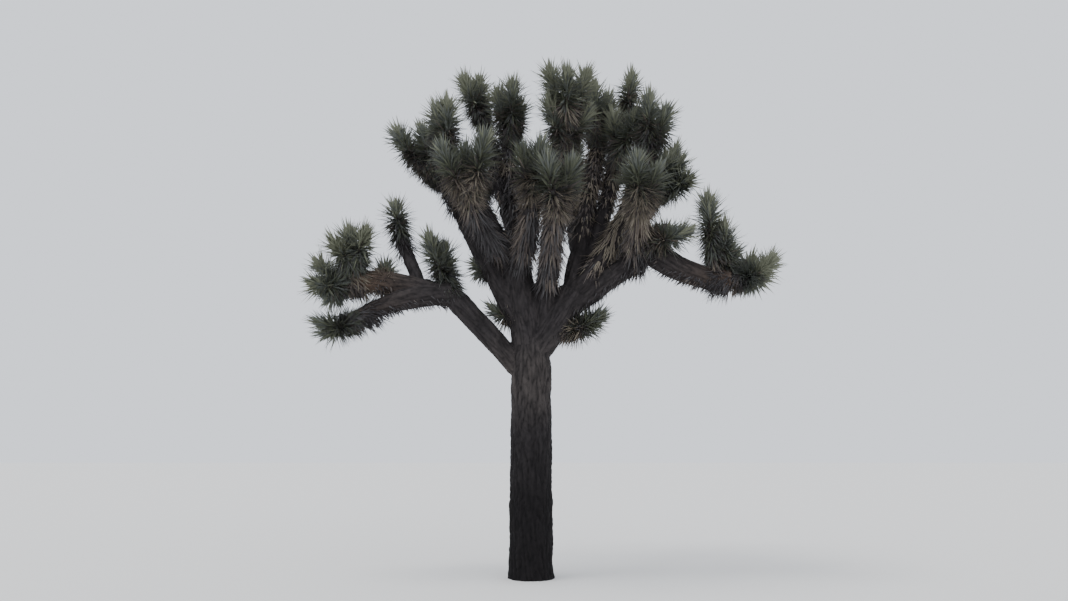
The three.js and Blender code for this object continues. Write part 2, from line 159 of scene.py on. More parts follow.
# Masses. Each has one stem from a share of its bough, aimed at (bearing, rise) or on along the bough
# where it has no aim. The stem ends in a fan of (shoots, spread, roll), and every shoot is a head.
MASSES = {
    "left_low_heads": dict(
        parent="left_low_arm", at=1, aim=(183, -30), stem=0.1, fan=(2, 11, 275), shoot=0.38,
    ),
    "left_end_heads": dict(
        parent="left_end_arm", at=1, aim=(180, -21), stem=0.07, fan=(3, 37, 330), shoot=0.45,
    ),
    "left_end_top_heads": dict(
        parent="left_end_arm", at=0.9, aim=(258, 58), stem=0.27, fan=(3, 39, 300), shoot=0.46,
    ),
    "left_small_head": dict(
        parent="left_end_arm", at=0.6, aim=(97, 31), stem=0.05, fan=(1, 0, 0), shoot=0.32,
    ),
    "left_upright_head": dict(
        parent="left_upright_bough", at=1, aim=(208, 75), stem=0.05, fan=(1, 0, 0), shoot=0.44,
    ),
    "left_elbow_head": dict(
        parent="left_low_bough", at=0.96, aim=(187, 68), stem=0.16, fan=(2, 13, 240), shoot=0.63,
    ),
    "left_outer_heads": dict(
        parent="left_outer_bough", at=1, aim=(150, 47), stem=0.31, fan=(3, 19, 220), shoot=0.9,
    ),
    "left_side_head": dict(
        parent="left_outer_bough", at=0.42, aim=(126, 18), stem=0.14, fan=(1, 0, 0), shoot=0.38,
    ),
    "left_foot_head": dict(
        parent="left_outer_bough", at=0.1, aim=(161, 6), stem=0.05, fan=(1, 0, 0), shoot=0.38,
    ),
    "left_heads": dict(
        parent="left_bough", at=1, aim=(184, 80), stem=0.14, fan=(2, 14, 330), shoot=0.65,
    ),
    "left_mid_heads": dict(
        parent="left_mid_bough", at=1, aim=(350, 85), stem=0.21, fan=(3, 23, 340), shoot=0.67,
    ),
    "left_top_heads": dict(
        parent="left_top_bough", at=1, aim=(186, 72), stem=0.33, fan=(2, 21, 40), shoot=0.58,
    ),
    "front_left_heads": dict(
        parent="front_left_bough", at=1, aim=(203, 83), stem=0.1, fan=(3, 29, 150), shoot=0.7,
    ),
    "front_mid_heads": dict(
        parent="front_mid_bough", at=1, aim=(126, 88), stem=0.17, fan=(2, 15, 45), shoot=0.61,
    ),
    "back_left_heads": dict(
        parent="back_left_bough", at=1, aim=None, stem=0.15, fan=(3, 40, 10), shoot=0.7,
    ),
    "back_left_low_heads": dict(
        parent="back_left_low_bough", at=1, aim=None, stem=0.15, fan=(2, 40, 40), shoot=0.65,
    ),
    "centre_heads": dict(
        parent="centre_bough", at=1, aim=(276, 63), stem=0.17, fan=(3, 34, 150), shoot=0.66,
    ),
    "front_centre_heads": dict(
        parent="front_centre_bough", at=1, aim=(335, 82), stem=0.07, fan=(2, 24, 205), shoot=0.65,
    ),
    "centre_right_heads": dict(
        parent="centre_right_bough", at=1, aim=(35, 88), stem=0.14, fan=(3, 18, 40), shoot=0.75,
    ),
    "right_top_head": dict(
        parent="right_top_bough", at=1, aim=(334, 76), stem=0.15, fan=(1, 0, 0), shoot=0.8,
    ),
    "right_heads": dict(
        parent="right_bough", at=1, aim=(55, 74), stem=0.32, fan=(3, 25, 80), shoot=0.69,
    ),
    "front_right_heads": dict(
        parent="front_right_bough", at=1, aim=(353, 88), stem=0.05, fan=(3, 29, 255), shoot=0.49,
    ),
    "right_outer_heads": dict(
        parent="right_outer_bough", at=1, aim=(296, 14), stem=0.09, fan=(3, 29, 250), shoot=0.49,
    ),
    "right_end_heads": dict(
        parent="right_low_arm", at=1, aim=(33, 15), stem=0.32, fan=(3, 23, 255), shoot=0.43,
    ),
    "right_arm_heads": dict(
        parent="right_low_arm", at=0.9, aim=(64, 65), stem=0.22, fan=(2, 49, 265), shoot=0.51,
    ),
    "right_side_heads": dict(
        parent="front_right_bough", at=0.45, aim=(23, 0), stem=0.21, fan=(2, 32, 350), shoot=0.51,
    ),
    "right_foot_heads": dict(
        parent="right_stem", at=0.45, aim=(16, 0), stem=0.23, fan=(2, 24, 195), shoot=0.49,
    ),
    "back_right_heads": dict(
        parent="back_right_bough", at=1, aim=(28, 64), stem=0.18, fan=(3, 38, 350), shoot=0.9,
    ),
    "back_mid_heads": dict(
        parent="back_mid_bough", at=1, aim=None, stem=0.15, fan=(3, 40, 70), shoot=0.7,
    ),
    "back_low_heads": dict(
        parent="back_low_bough", at=1, aim=None, stem=0.15, fan=(3, 45, 20), shoot=0.65,
    ),
    "right_arm_top_head": dict(
        parent="right_low_arm", at=0.82, aim=(231, 82), stem=0.34, fan=(1, 0, 0), shoot=0.8,
    ),
    "centre_low_heads": dict(
        parent="centre_bough", at=0.85, aim=(307, 74), stem=0.25, fan=(2, 39, 195), shoot=0.65,
    ),
    "right_top_low_heads": dict(
        parent="right_top_bough", at=0.7, aim=(292, 56), stem=0.35, fan=(2, 25, 240), shoot=0.66,
    ),
}

# A head: a shoot that turns upward, by a lift added to its direction, with green leaves on its last
# stretch and dead ones below. A shoot shorter than a full-grown one is slimmer to match. The stem of a
# mass is a share as thick as its bough, up to the widest, and narrows to the neck of a shoot.
HEAD = dict(
    lift=0.35, leafy=0.5, leafy_share=0.8, full_grown=0.4, neck=0.072, stem_share=0.8, widest_stem=0.1,
)

# How far the shoots of one mass differ: in turn, and in tilt and length as shares.
VARIETY = dict(turn=30, tilt=0.4, length=0.3)

# The series that the shoots' differences come from.
SERIES = dict(first_state=17, seed_step=7919, multiplier=16807, modulus=2147483647)

GOLDEN_ANGLE = 137.508

# An axis whose level part is shorter than this counts as upright.
UPRIGHT = 1e-4

# The seed of everything that the finer leaves draw.
LEAF_SEED = 7

# The limbs of the lower piece of bark, and those with no thatch.
LOW_LIMBS = (
    "trunk", "left_stem", "right_stem", "left_low_bough", "left_low_arm", "left_end_arm",
    "right_low_bough", "right_low_arm",
)
BARE_LIMBS = ("trunk", "left_stem", "right_stem", "left_low_bough")

# Twigs: the bare stems and shoots inside the leaves. Bare is their share of the thatched radius. The neck
# of a shoot narrows to its leafy stem within the narrowing, a share of the shoot. Shag is how much denser
# dead leaves grow on shoots than on limbs.
TWIG = dict(steps=9, sides=10, bare=0.85, narrowing=0.01, shag=1.5, colour=(0.06, 0.05, 0.042))

# Ruffs of dead leaves turned down: a skirt under each head, and older ones in tiers down the boughs. Root
# is how far out the leaves start, as a share of the limb's radius, and tiers are unevenly spaced.
# The light of a skirt makes pale skirts lighter: painted light against the shade that the head above casts
# on them.
SKIRT = dict(leaves=260, reach=0.4, tilt=(158, 98), root=0.6, light=0.25)
TIER = dict(leaves=60, reach=0.2, tilt=(164, 128), root=0.8, spacing=0.3, uneven=(0.8, 1.2), size=0.7)

# How the leaves of a ruff differ: below is the share of them under its middle, turn and tilt are by how
# much they stray, and the light is a power that makes more of them pale the higher it is.
RUFF = dict(below=0.7, turn=12, tilt=9, lengths=(0.7, 1), widths=(0.8, 1.2), curl=(-0.08, 0.08), light=1.2)

# The thatch on a bough: how far it reaches from the tip, the stretches that it grows in, and its tone,
# from 0 for dark to 1 for straw, on most limbs and on some by name. The tone falls by the foot's shade
# towards the foot of the limb.
THATCH = dict(reach=1.6, stretches=5, tone=0.4, foot_shade=0.3)
# The tones of the right, right top and centre right boughs are raised as painted light on thatch that lies
# in shade within the crown, and that of the front right bough is partly its straw colour and partly painted
# sunlight.
TONES = dict(
    left_low_arm=0.1, left_end_arm=0.5, left_upright_bough=0.1, left_outer_bough=0.2,
    right_low_bough=0.15, right_low_arm=0.2, front_right_bough=0.8, centre_bough=0.35,
    right_bough=1, right_top_bough=1, centre_right_bough=1,
)

# Smooth limbs carry only a share of the dead leaves, and no ruffs. But for a shaggy end the leaves are
# short, and grow only where the limb faces downward by more than the underside.
SMOOTH_LIMBS = dict(
    left_upright_bough=0.1, left_outer_bough=0.6, left_low_arm=0.6, left_end_arm=0.4,
    right_low_bough=0.6, right_low_arm=0.8,
)
SMOOTH = dict(size=0.45, shaggy_end=0.12, underside=-0.3)

# The old colours are darker, partly the old bark's own and partly painted shade from the crown on the
# trunk's foot.
BARK_COLOURS = dict(
    old_crack=(0.0035, 0.003, 0.0035),
    old_plate=(0.010, 0.0085, 0.009),
    worn_plate=(0.100, 0.086, 0.078),
    young_crack=(0.008, 0.007, 0.0075),
    young_plate=(0.026, 0.0235, 0.0255),
    streak=(0.050, 0.043, 0.042),
    tan=(0.180, 0.122, 0.085),
)
# How tan the bark turns towards the tip of some limbs, partly their own orange-brown and partly painted
# sunlight on them.
TAN_LIMBS = dict(left_end_arm=1, front_right_bough=1, right_low_arm=0.4, left_low_arm=0.2)

# Bark: the size of the mesh's cells, how many of them the trunk goes on for below the ground before it is
# cut level, and the rounds and strength of the smoothing that softens the forks. Then come the sizes of
# its lumps and furrows. A layer is (width, length along the limb, share of the depth), and each limb and
# each layer is shifted, so that no two are alike. Depth is for old and young bark. The limb's own radius
# lies at the level, from 0 in a crack to 1 on a plate. Furrows fade out along the seam at a fork.
BARK = dict(
    cell=0.015,
    sunk=4,
    smoothing=(8, 0.5),
    lump=0.35,
    lump_depth=0.016,
    layers=[(0.050, 0.34, 0.5), (0.045, 0.10, 0.3), (0.022, 0.12, 0.2)],
    limb_shift=7.3,
    layer_shift=31.7,
    crack=0.35,
    depth=(0.030, 0.016),
    level=0.6,
    seam=0.04,
)
# What each point of the bark's mesh carries for its colour.
BARK_KINDS = ("relief", "young", "worn", "tan")

# How young, and how worn and pale, the bark is at each height. The bark is darker towards the foot of the
# trunk, partly the old bark's own colour and partly painted shade from the crown.
YOUNG = [(0.9, 0), (3.1, 1)]
WORN = [(1.9, 0), (2.55, 0.85), (2.9, 0.65), (3.25, 0)]

# The steps along a limb and the sides around it, and how far past its radius points are measured to it.
LIMB_STEPS = 28
LIMB_SIDES = 24
LIMB_RANGE = 0.4

# A leaf: where it is widest along its length, how deep its keel is and how wide its root is as shares of
# its width, and how much of its bend its middle takes part in. Among leaves of one sort, lengths and
# widths are from the smallest to the largest share, and curl is (middle, spread), as a share of length.
BLADE = dict(widest_at=0.35, keel=0.3, root=0.7, middle_bend=0.1)

# Green leaves: how many a full-grown head has, and their sizes. Fewest and shortest are the shares of
# these that a head of no girth would have. The profile gives, for each height in the head, the tilt from
# the shoot and the length as a share of the full one. Stem is the radius that leaves start from at the
# foot and the tip of the head, and unevenness how much turns and tilts stray. Inner gives the share of
# leaves that stay inside the head, their length as a share, and how much darker they are, which is
# painted shade inside the head. A head is uneven in clumps of that breadth, shifted from head to head:
# where it isn't thick, leaves are shorter by up to the thinned share.
GREEN = dict(
    leaves=500,
    length=0.302,
    width=0.026,
    fewest=0.4,
    shortest=0.35,
    profile=[(0, 122, 0.8), (0.15, 100, 0.92), (0.45, 68, 1), (0.8, 38, 1), (1, 8, 0.85)],
    stem=(0.05, 0.03),
    unevenness=20,
    lengths=(0.72, 1.18),
    widths=(0.8, 1.15),
    curl=(-0.04, 0.05),
    inner=(0.5, 0.62, 0.1),
    clump=0.45,
    clump_shift=5,
    thick=0.2,
    thinned=0.35,
)

# The tone of green leaves, from 0 for dark to 1 for light: how much of it is the height in the head, the
# head's own and the leaf's own, and the tone that these start from. The height's share is painted light
# and shade: leaves are lighter towards the top of a head and darker at its foot. Painted light by height
# gives how much lighter the heads are at each height above the ground, which is painted light on the high
# heads and painted shade on the low ones. Browned gives the height in the head below which leaves turn
# brown, the share of them that do at its foot, and how much lighter they get at most.
GREEN_TONE = dict(height=0.7, head=0.2, leaf=0.4, start=-0.1)
PAINTED_LIGHT_BY_HEIGHT = [(3.7, -0.2), (4.1, 0.05), (6.0, 0.05), (7.0, 0.2)]
BROWNED = dict(height=0.4, share=0.7, light=0.5)

# Heads nearer the front than this are darker by the shade, which is painted shade on the front of the
# crown. They and the heads lower than this have a pale skirt of dead leaves, and the others a grey and
# green one.
FRONT = dict(nearer=-0.6, shade=0.2, lower=4.7)

# The kinds that leaves are dealt out to from dark to light: in pale, grey and fresh skirts, among the
# green leaves of a shoot below its head, and among the brown ones of a head.
KINDS = dict(
    pale=("thatch_grey", "thatch_brown", "thatch_tan", "thatch_straw"),
    grey=("thatch_grey", "green_olive", "thatch_brown", "green_grey"),
    fresh=("green_dark", "thatch_grey", "green_olive", "green_grey"),
    shoot=("green_dark", "green_olive", "green_grey"),
    brown=("thatch_dark", "thatch_grey", "thatch_brown", "thatch_tan"),
)

# Masses whose heads stay green far down, and how much lighter each is, which is painted light on the
# heads that the light falls on. Green is the share of green leaves on their shoots below the heads, and
# brown the share of brown ones at the heads' foot.
FRESH_MASSES = dict(
    left_low_heads=0, left_end_heads=0.15, left_end_top_heads=0.2, left_upright_head=0, left_elbow_head=0,
    left_side_head=0.1, right_arm_heads=0, right_arm_top_head=0, right_end_heads=0.6,
)
FRESH = dict(green=0.75, brown=0.25)

# Dead leaves hang back along their limb, and straight down in a fringe where it is level. Density is
# leaves per square metre of limb. They lift from the limb by angles between the first and a highest one,
# which grows from old limbs to young ones, and lie flat on top of level limbs. Hug is how far a drooping
# leaf may turn into its limb. Sunk is the share of the limb's radius at which long and short leaves start,
# and a leaf grows only where its own limb is the nearest one, this clear of its root. A patch is the
# breadth of an area of one tone, contrast how much patches differ, and fade how much leaves do. Green is
# the share of green leaves among those on a shoot.
DEAD = dict(
    length=0.24, width=0.02, lengths=(0.6, 1.15), widths=(0.7, 1.2), curl=(0.02, 0.1), density=1200,
    lift=6, lift_old=45, lift_young=78, droop=0.8, flat=0.8, hug=0.6, sunk=(0.85, 0.95), clear=0.03,
    patch=0.3, contrast=0.7, fade=0.16, green=0.22,
)

# Leaves with tips farther than this past the solids' box are left out.
OVERHANG = 0.11

# Plain base colours, dealt out by leaf.
GREENS = dict(
    green_dark=(0.056, 0.060, 0.051),
    green_olive=(0.095, 0.103, 0.072),
    green_grey=(0.111, 0.121, 0.107),
    green_light=(0.178, 0.187, 0.135),
)
THATCHES = dict(
    thatch_dark=(0.044, 0.040, 0.042),
    thatch_grey=(0.080, 0.077, 0.079),
    thatch_brown=(0.100, 0.084, 0.077),
    thatch_tan=(0.155, 0.128, 0.107),
    thatch_straw=(0.225, 0.197, 0.155),
)

# The gloss of leaves, and the grain that it varies by.
LEAF_LOOK = dict(specular=0.3, roughness=(0.5, 0.75), grain=30)

# The look of bark: its noise is drawn out along the height. Streaks, patches and grain are (scale,
# detail) of noise, and the bump is (strength, depth).
BARK_LOOK = dict(
    stretch=(1, 1, 0.3), streaks=(14, 4), patches=(5, 3), grain=(70, 6), bump=(0.7, 0.012),
    roughness=0.92, specular=0.2,
)

# The studio: a square floor, the sky, two suns by their turn about each axis, and a camera at eye level
# that looks upward.
FLOOR = dict(half=150, colour=(0.74, 0.73, 0.71), roughness=0.9)
SKY = dict(colour=(0.82, 0.86, 0.93), strength=1.4)
SUNS = dict(
    key=dict(energy=1.4, angle=25, turn=(8, -20, 0)),
    fill=dict(energy=0.9, angle=60, turn=(82, 0, 20)),
)
CAMERA = dict(place=(0.04, -10.96, 1.6), rise=11, sensor=36, lens=26.7, sight=400)

UP = np.array([0.0, 0.0, 1.0])


# Directions and curves.

def unit(vectors):
    return vectors / np.linalg.norm(vectors, axis=-1, keepdims=True)


def direction(bearing, rise):
    turn, climb = math.radians(bearing), math.radians(rise)
    level = math.cos(climb)
    return np.array([math.cos(turn) * level, math.sin(turn) * level, math.sin(climb)])


def cross_axes(axis):
    """Two directions square to each axis and to each other."""
    level = np.cross(axis, UP)
    level = np.where(np.linalg.norm(level, axis=-1, keepdims=True) < UPRIGHT, (1.0, 0.0, 0.0), level)
    level = unit(level)
    return level, unit(np.cross(level, axis))


def around(axis, turn):
    """The direction square to each axis at that turn, in radians, about it."""
    level, upper = cross_axes(axis)
    return level * np.cos(turn)[..., None] + upper * np.sin(turn)[..., None]


def on_curve(curve, share):
    """Points and unit tangents of a quadratic curve at shares of its length."""
    start, middle, end = curve
    share = np.asarray(share, float)[..., None]
    point = start * (1 - share) ** 2 + middle * 2 * share * (1 - share) + end * share**2
    return point, unit((middle - start) * (1 - share) + (end - middle) * share)


def tilted(axis, outward, tilt):
    """Directions at tilts, in radians, from each axis, and the face of a leaf that grows that way."""
    cosine, sine = np.cos(tilt)[:, None], np.sin(tilt)[:, None]
    return axis * cosine + outward * sine, axis * sine - outward * cosine


def slimmed(least, girth):
    """A share that is 1 for a full girth and would fall to the least one for none."""
    return least + (1 - least) * girth


def curve_length(curve):
    points, _ = on_curve(curve, np.linspace(0, 1, LIMB_STEPS))
    return float(np.linalg.norm(np.diff(points, axis=0), axis=1).sum())


def series(seed):
    """A repeatable series of numbers between 0 and 1, each worked out from the one before."""
    state = seed * SERIES["seed_step"] + SERIES["first_state"]

    def draw():
        nonlocal state
        state = state * SERIES["multiplier"] % SERIES["modulus"]
        return state / SERIES["modulus"]

    draw()
    draw()
    return draw


# The plan: limbs, then the stem and shoots of each mass.

def trunk_limb():
    foot, top = np.zeros(3), np.array([0, 0, TRUNK["height"]])
    heights, radii = zip(*TRUNK["profile"])
    return dict(curve=(foot, (foot + top) / 2, top), shares=np.array(heights) / top[2], radii=radii)


def bough_limb(parent, at, tip, sag, radius):
    bearing, reach, height = tip
    start = on_curve(parent["curve"], at)[0]
    end = direction(bearing, 0) * reach + UP * height
    middle = (start + end) / 2 - UP * sag * np.linalg.norm(end - start)
    return dict(curve=(start, middle, end), shares=(0, 1), radii=radius)


def plan_limbs():
    limbs = dict(trunk=trunk_limb())
    for name, row in BOUGHS.items():
        bough = {key: value for key, value in row.items() if key != "parent"}
        limbs[name] = bough_limb(limbs[row["parent"]], **bough)
    return limbs


def radius_at(limb, share):
    return np.interp(share, limb["shares"], limb["radii"])


def plan_mass(limb, mass, seed):
    """The stem of a mass and its shoots, with the same draws in the same order as the solids."""
    heads, spread, roll = mass["fan"]
    root, tangent = on_curve(limb["curve"], mass["at"])
    way = direction(*mass["aim"]) if mass["aim"] else tangent
    fork = root + way * mass["stem"]
    draw = series(seed)
    shoots = []
    for head in range(heads):
        turn = math.radians(roll + 360 * head / heads + (draw() - 0.5) * VARIETY["turn"])
        even_tilt = 1 - VARIETY["tilt"] / 2 + VARIETY["tilt"] * draw() if heads > 1 else 1
        tilt = math.radians(spread * even_tilt)
        length = mass["shoot"] * (1 - VARIETY["length"] / 2 + VARIETY["length"] * draw())
        heading = way * math.cos(tilt) + around(way, np.array(turn)) * math.sin(tilt)
        turned = unit(heading + UP * HEAD["lift"])
        curve = (fork, fork + heading * length / 2, fork + turned * length)
        leafy = min(HEAD["leafy"], HEAD["leafy_share"] * length)
        girth = min(1, length / HEAD["full_grown"])
        shoots.append(dict(curve=curve, length=length, leafy=leafy, girth=girth))
    stem_radius = min(HEAD["widest_stem"], HEAD["stem_share"] * float(radius_at(limb, mass["at"])))
    stem = dict(curve=(root, (root + fork) / 2, fork), shares=(0, 1), radii=(stem_radius, HEAD["neck"]))
    return dict(stem=stem, shoots=shoots)


# Meshes.

def added(name, data):
    thing = bpy.data.objects.new(name, data)
    bpy.context.scene.collection.objects.link(thing)
    return thing


def mesh_object(name, points, faces, material, nodes):
    """A piece of the tree from points and equal-sided faces, standing for the given nodes."""
    mesh = bpy.data.meshes.new(name)
    mesh.from_pydata(points, [], faces)
    mesh.materials.append(material)
    piece = added(name, mesh)
    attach(piece, "root")
    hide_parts(*nodes)
    return piece


def sweep(curve, shares, radii, sides):
    """A closed tube through rings at shares of a curve, as points, quads and the two end faces."""
    centre, axis = on_curve(curve, shares)
    turn = np.arange(sides) * 2 * math.pi / sides
    level, upper = cross_axes(axis)
    spokes = level[:, None] * np.cos(turn)[:, None] + upper[:, None] * np.sin(turn)[:, None]
    points = (centre[:, None] + spokes * np.asarray(radii)[:, None, None]).reshape(-1, 3)
    low = np.arange((len(shares) - 1) * sides).reshape(-1, sides)
    beside = np.roll(low, -1, axis=1)
    quads = np.stack([low, beside, beside + sides, low + sides], axis=-1).reshape(-1, 4)
    foot = list(range(sides))[::-1]
    head = [len(points) - sides + side for side in range(sides)]
    return points, quads.tolist() + [foot, head]


def joined(shells):
    """Several (points, faces) as one."""
    points, faces, count = [], [], 0
    for shell_points, shell_faces in shells:
        points.append(shell_points)
        faces += [[corner + count for corner in face] for face in shell_faces]
        count += len(shell_points)
    return np.concatenate(points), faces


# Bark.

def nearest_limb(points, limbs):
    """For each point: the limb whose surface is nearest, the point's offset from that limb's middle
    line, the limb's direction there, the length along it, and how much nearer it is than any other."""
    best = np.full(len(points), np.inf)
    second = best.copy()
    owner = np.zeros(len(points), int)
    offset = np.zeros((len(points), 3))
    axis = np.tile(UP, (len(points), 1))
    run = np.zeros(len(points))
    shares = np.linspace(0, 1, LIMB_STEPS)
    for number, limb in enumerate(limbs.values()):
        centre, way = on_curve(limb["curve"], shares)
        radius = radius_at(limb, shares)
        reach = radius.max() + LIMB_RANGE
        near = np.flatnonzero(
            ((points > centre.min(0) - reach) & (points < centre.max(0) + reach)).all(axis=1)
        )
        apart = np.linalg.norm(points[near, None] - centre, axis=2) - radius
        step = apart.argmin(axis=1)
        along = ((points[near] - centre[step]) * way[step]).sum(axis=1)
        out = points[near] - centre[step] - way[step] * along[:, None]
        beyond = np.where((step == 0) | (step == LIMB_STEPS - 1), np.abs(along), 0)
        gap = np.hypot(np.linalg.norm(out, axis=1), beyond) - radius[step]
        runs = np.concatenate([[0], np.linalg.norm(np.diff(centre, axis=0), axis=1).cumsum()])
        wins = gap < best[near]
        second[near] = np.where(wins, best[near], np.minimum(second[near], gap))
        won = near[wins]
        best[won] = gap[wins]
        owner[won] = number
        offset[won] = out[wins]
        axis[won] = way[step[wins]]
        run[won] = runs[step[wins]] + along[wins]
    return owner, offset, axis, run, second - best


def noise_at(points):
    return np.array([noise.noise(point) for point in points.tolist()])


def furrows(offset, axis, run, owner):
    """The height of the bark from 0 in a crack to 1 on a plate. Cracks run along the limb."""
    height = np.zeros(len(run))
    for number, (width, length, share) in enumerate(BARK["layers"]):
        shift = owner * BARK["limb_shift"] + number * BARK["layer_shift"]
        place = offset / width + axis * (run / length)[:, None] + shift[:, None]
        height += share * np.clip(np.abs(noise_at(place)) / BARK["crack"], 0, 1)
    return height


def fused_limbs(limbs):
    """The limbs as one skin of even cells, soft at the forks."""
    shares = np.linspace(0, 1, LIMB_STEPS)
    shells = []
    for name, limb in limbs.items():
        start, middle, end = limb["curve"]
        foot = start - UP * BARK["sunk"] * BARK["cell"] if name == "trunk" else start
        shells.append(sweep((foot, middle, end), shares, radius_at(limb, shares), LIMB_SIDES))
    points, faces = joined(shells)
    mesh = bpy.data.meshes.new("limbs")
    mesh.from_pydata(points, [], faces)
    rough = added("limbs", mesh)
    remesh = rough.modifiers.new("cells", "REMESH")
    remesh.mode = "VOXEL"
    remesh.voxel_size = BARK["cell"]
    smooth = rough.modifiers.new("soften", "SMOOTH")
    smooth.iterations, smooth.factor = BARK["smoothing"]
    skin = bpy.data.meshes.new_from_object(rough.evaluated_get(bpy.context.evaluated_depsgraph_get()))
    bpy.data.objects.remove(rough)
    return skin


def cut_level(mesh):
    """Cuts the mesh flat at ground level, closes the cut and turns every face into triangles."""
    shape = bmesh.new()
    shape.from_mesh(mesh)
    everything = shape.verts[:] + shape.edges[:] + shape.faces[:]
    cut = bmesh.ops.bisect_plane(shape, geom=everything, plane_no=-UP, clear_outer=True)
    rim = [part for part in cut["geom_cut"] if isinstance(part, bmesh.types.BMEdge)]
    bmesh.ops.holes_fill(shape, edges=rim)
    bmesh.ops.triangulate(shape, faces=shape.faces[:])
    shape.to_mesh(mesh)
    shape.free()


def read_points(mesh, kind="co"):
    values = np.empty(len(mesh.vertices) * 3)
    mesh.vertices.foreach_get(kind, values)
    return values.reshape(-1, 3)


def read_values(mesh, name):
    values = np.empty(len(mesh.vertices))
    mesh.attributes[name].data.foreach_get("value", values)
    return values


def write_values(mesh, name, values):
    mesh.attributes.new(name, "FLOAT", "POINT").data.foreach_set("value", values.astype(float))


def bark_piece(name, limb):
    """The piece of bark that a limb is part of: the low one, or the one on its tip's side."""
    if name in LOW_LIMBS:
        return "bark_low"
    return "bark_left" if limb["curve"][2][0] < 0 else "bark_right"


def grow_bark(limbs, material):
    """The trunk and boughs with the bark's relief, in three pieces that meet edge to edge."""
    skin = fused_limbs(limbs)
    points, normals = read_points(skin), read_points(skin, "normal")
    owner, offset, axis, run, margin = nearest_limb(points, limbs)
    relief = furrows(offset, axis, run, owner)
    # Young is low on the trunk, where the darker old bark is partly painted shade from the crown.
    young = np.interp(points[:, 2], *zip(*YOUNG))
    worn = np.interp(points[:, 2], *zip(*WORN))
    depth = np.interp(young, (0, 1), BARK["depth"])
    calm = np.clip(margin / BARK["seam"], 0, 1)
    lump = noise_at(points / BARK["lump"]) * BARK["lump_depth"]
    # Tan is partly the limbs' own orange-brown and partly painted sunlight on them.
    tan = np.zeros(len(points))
    for number, (name, limb) in enumerate(limbs.items()):
        mine = owner == number
        tan[mine] = TAN_LIMBS.get(name, 0) * np.clip(run[mine] / curve_length(limb["curve"]), 0, 1) ** 2
    points += normals * (lump + depth * (relief * calm - BARK["level"]))[:, None]
    skin.vertices.foreach_set("co", points.ravel())
    pieces = [bark_piece(name, limb) for name, limb in limbs.items()]
    piece_names = sorted(set(pieces))
    part = np.array([piece_names.index(piece) for piece in pieces])[owner]
    for name, values in zip((*BARK_KINDS, "part"), (relief, young, worn, tan, part)):
        write_values(skin, name, values)
    cut_level(skin)
    corners = np.empty(len(skin.polygons) * 3, int)
    skin.loops.foreach_get("vertex_index", corners)
    faces = corners.reshape(-1, 3)
    points = read_points(skin)
    part = np.median(read_values(skin, "part")[faces], axis=1).round()
    for number, piece_name in enumerate(piece_names):
        nodes = [name for name, piece in zip(limbs, pieces) if piece == piece_name]
        used, places = np.unique(faces[part == number], return_inverse=True)
        piece = mesh_object(piece_name, points[used], places.reshape(-1, 3), material, nodes)
        for kind in BARK_KINDS:
            write_values(piece.data, kind, read_values(skin, kind)[used])
        piece.data.shade_smooth()
    bpy.data.meshes.remove(skin)


# Leaves.

def blades(root, way, face, length, width, curl):
    """Folded daggers, keeled away from their face and curled towards it: seven points for each leaf."""
    across = unit(np.cross(face, way)) * (width / 2)[:, None]
    keel = face * (width * BLADE["keel"])[:, None]
    bend = face * (curl * length)[:, None]
    middle = root + way * (length * BLADE["widest_at"])[:, None] + bend * BLADE["middle_bend"]
    tip = root + way * length[:, None] + bend
    rows = (
        root + across * BLADE["root"], root - keel * BLADE["root"], root - across * BLADE["root"],
        middle + across, middle - keel, middle - across,
        tip,
    )
    return np.stack(rows, axis=1)


BLADE_POINTS = 7
BLADE_FACES = np.array([(0, 1, 4), (0, 4, 3), (1, 2, 5), (1, 5, 4), (3, 4, 6), (4, 5, 6)])


def head_leaves(shoot, most_brown, chance):
    """The leaves of a head, each turned by the golden angle from the one below, their tones from 0 for
    dark to 1 for light, and which of them have turned brown."""
    girth = shoot["girth"]
    count = round(GREEN["leaves"] * shoot["leafy"] / HEAD["leafy"] * slimmed(GREEN["fewest"], girth))
    height = (np.arange(count) + 0.5) / count
    start = 1 - shoot["leafy"] / shoot["length"]
    point, axis = on_curve(shoot["curve"], start + (1 - start) * height)
    turn = np.radians(np.arange(count) * GOLDEN_ANGLE + chance.normal(0, GREEN["unevenness"], count))
    heights, tilts, lengths = zip(*GREEN["profile"])
    tilt = np.radians(np.interp(height, heights, tilts) + chance.normal(0, GREEN["unevenness"], count))
    outward = around(axis, turn)
    way, face = tilted(axis, outward, tilt)
    stem = np.interp(height, (0, 1), GREEN["stem"]) * girth
    length = GREEN["length"] * np.interp(height, heights, lengths) * chance.uniform(*GREEN["lengths"], count)
    apex = shoot["curve"][2]
    thin = np.clip(GREEN["thick"] - noise_at((way + apex * GREEN["clump_shift"]) / GREEN["clump"]), 0, 1)
    length *= slimmed(GREEN["shortest"], girth) * (1 - GREEN["thinned"] * thin)
    inner_share, inner_length, inner_shade = GREEN["inner"]
    inner = chance.uniform(size=count) < inner_share
    length[inner] *= inner_length
    width = GREEN["width"] * chance.uniform(*GREEN["widths"], count)
    curl = chance.normal(*GREEN["curl"], count)
    leaves = blades(point + outward * stem[:, None], way, face, length, width, curl)
    # Painted light and shade: leaves are lighter towards the top of the head, and darker at its foot and
    # inside it.
    tone = GREEN_TONE["start"] + GREEN_TONE["height"] * height + GREEN_TONE["head"] * chance.uniform()
    tone += GREEN_TONE["leaf"] * chance.uniform(size=count) - inner_shade * inner
    # Painted light on the heads by their height above the ground, and painted shade on the heads at the
    # front of the crown.
    tone += np.interp(apex[2], *zip(*PAINTED_LIGHT_BY_HEIGHT)) - FRONT["shade"] * (apex[1] < FRONT["nearer"])
    brown = chance.uniform(size=count) < most_brown * (1 - height / BROWNED["height"])
    return leaves, tone, brown


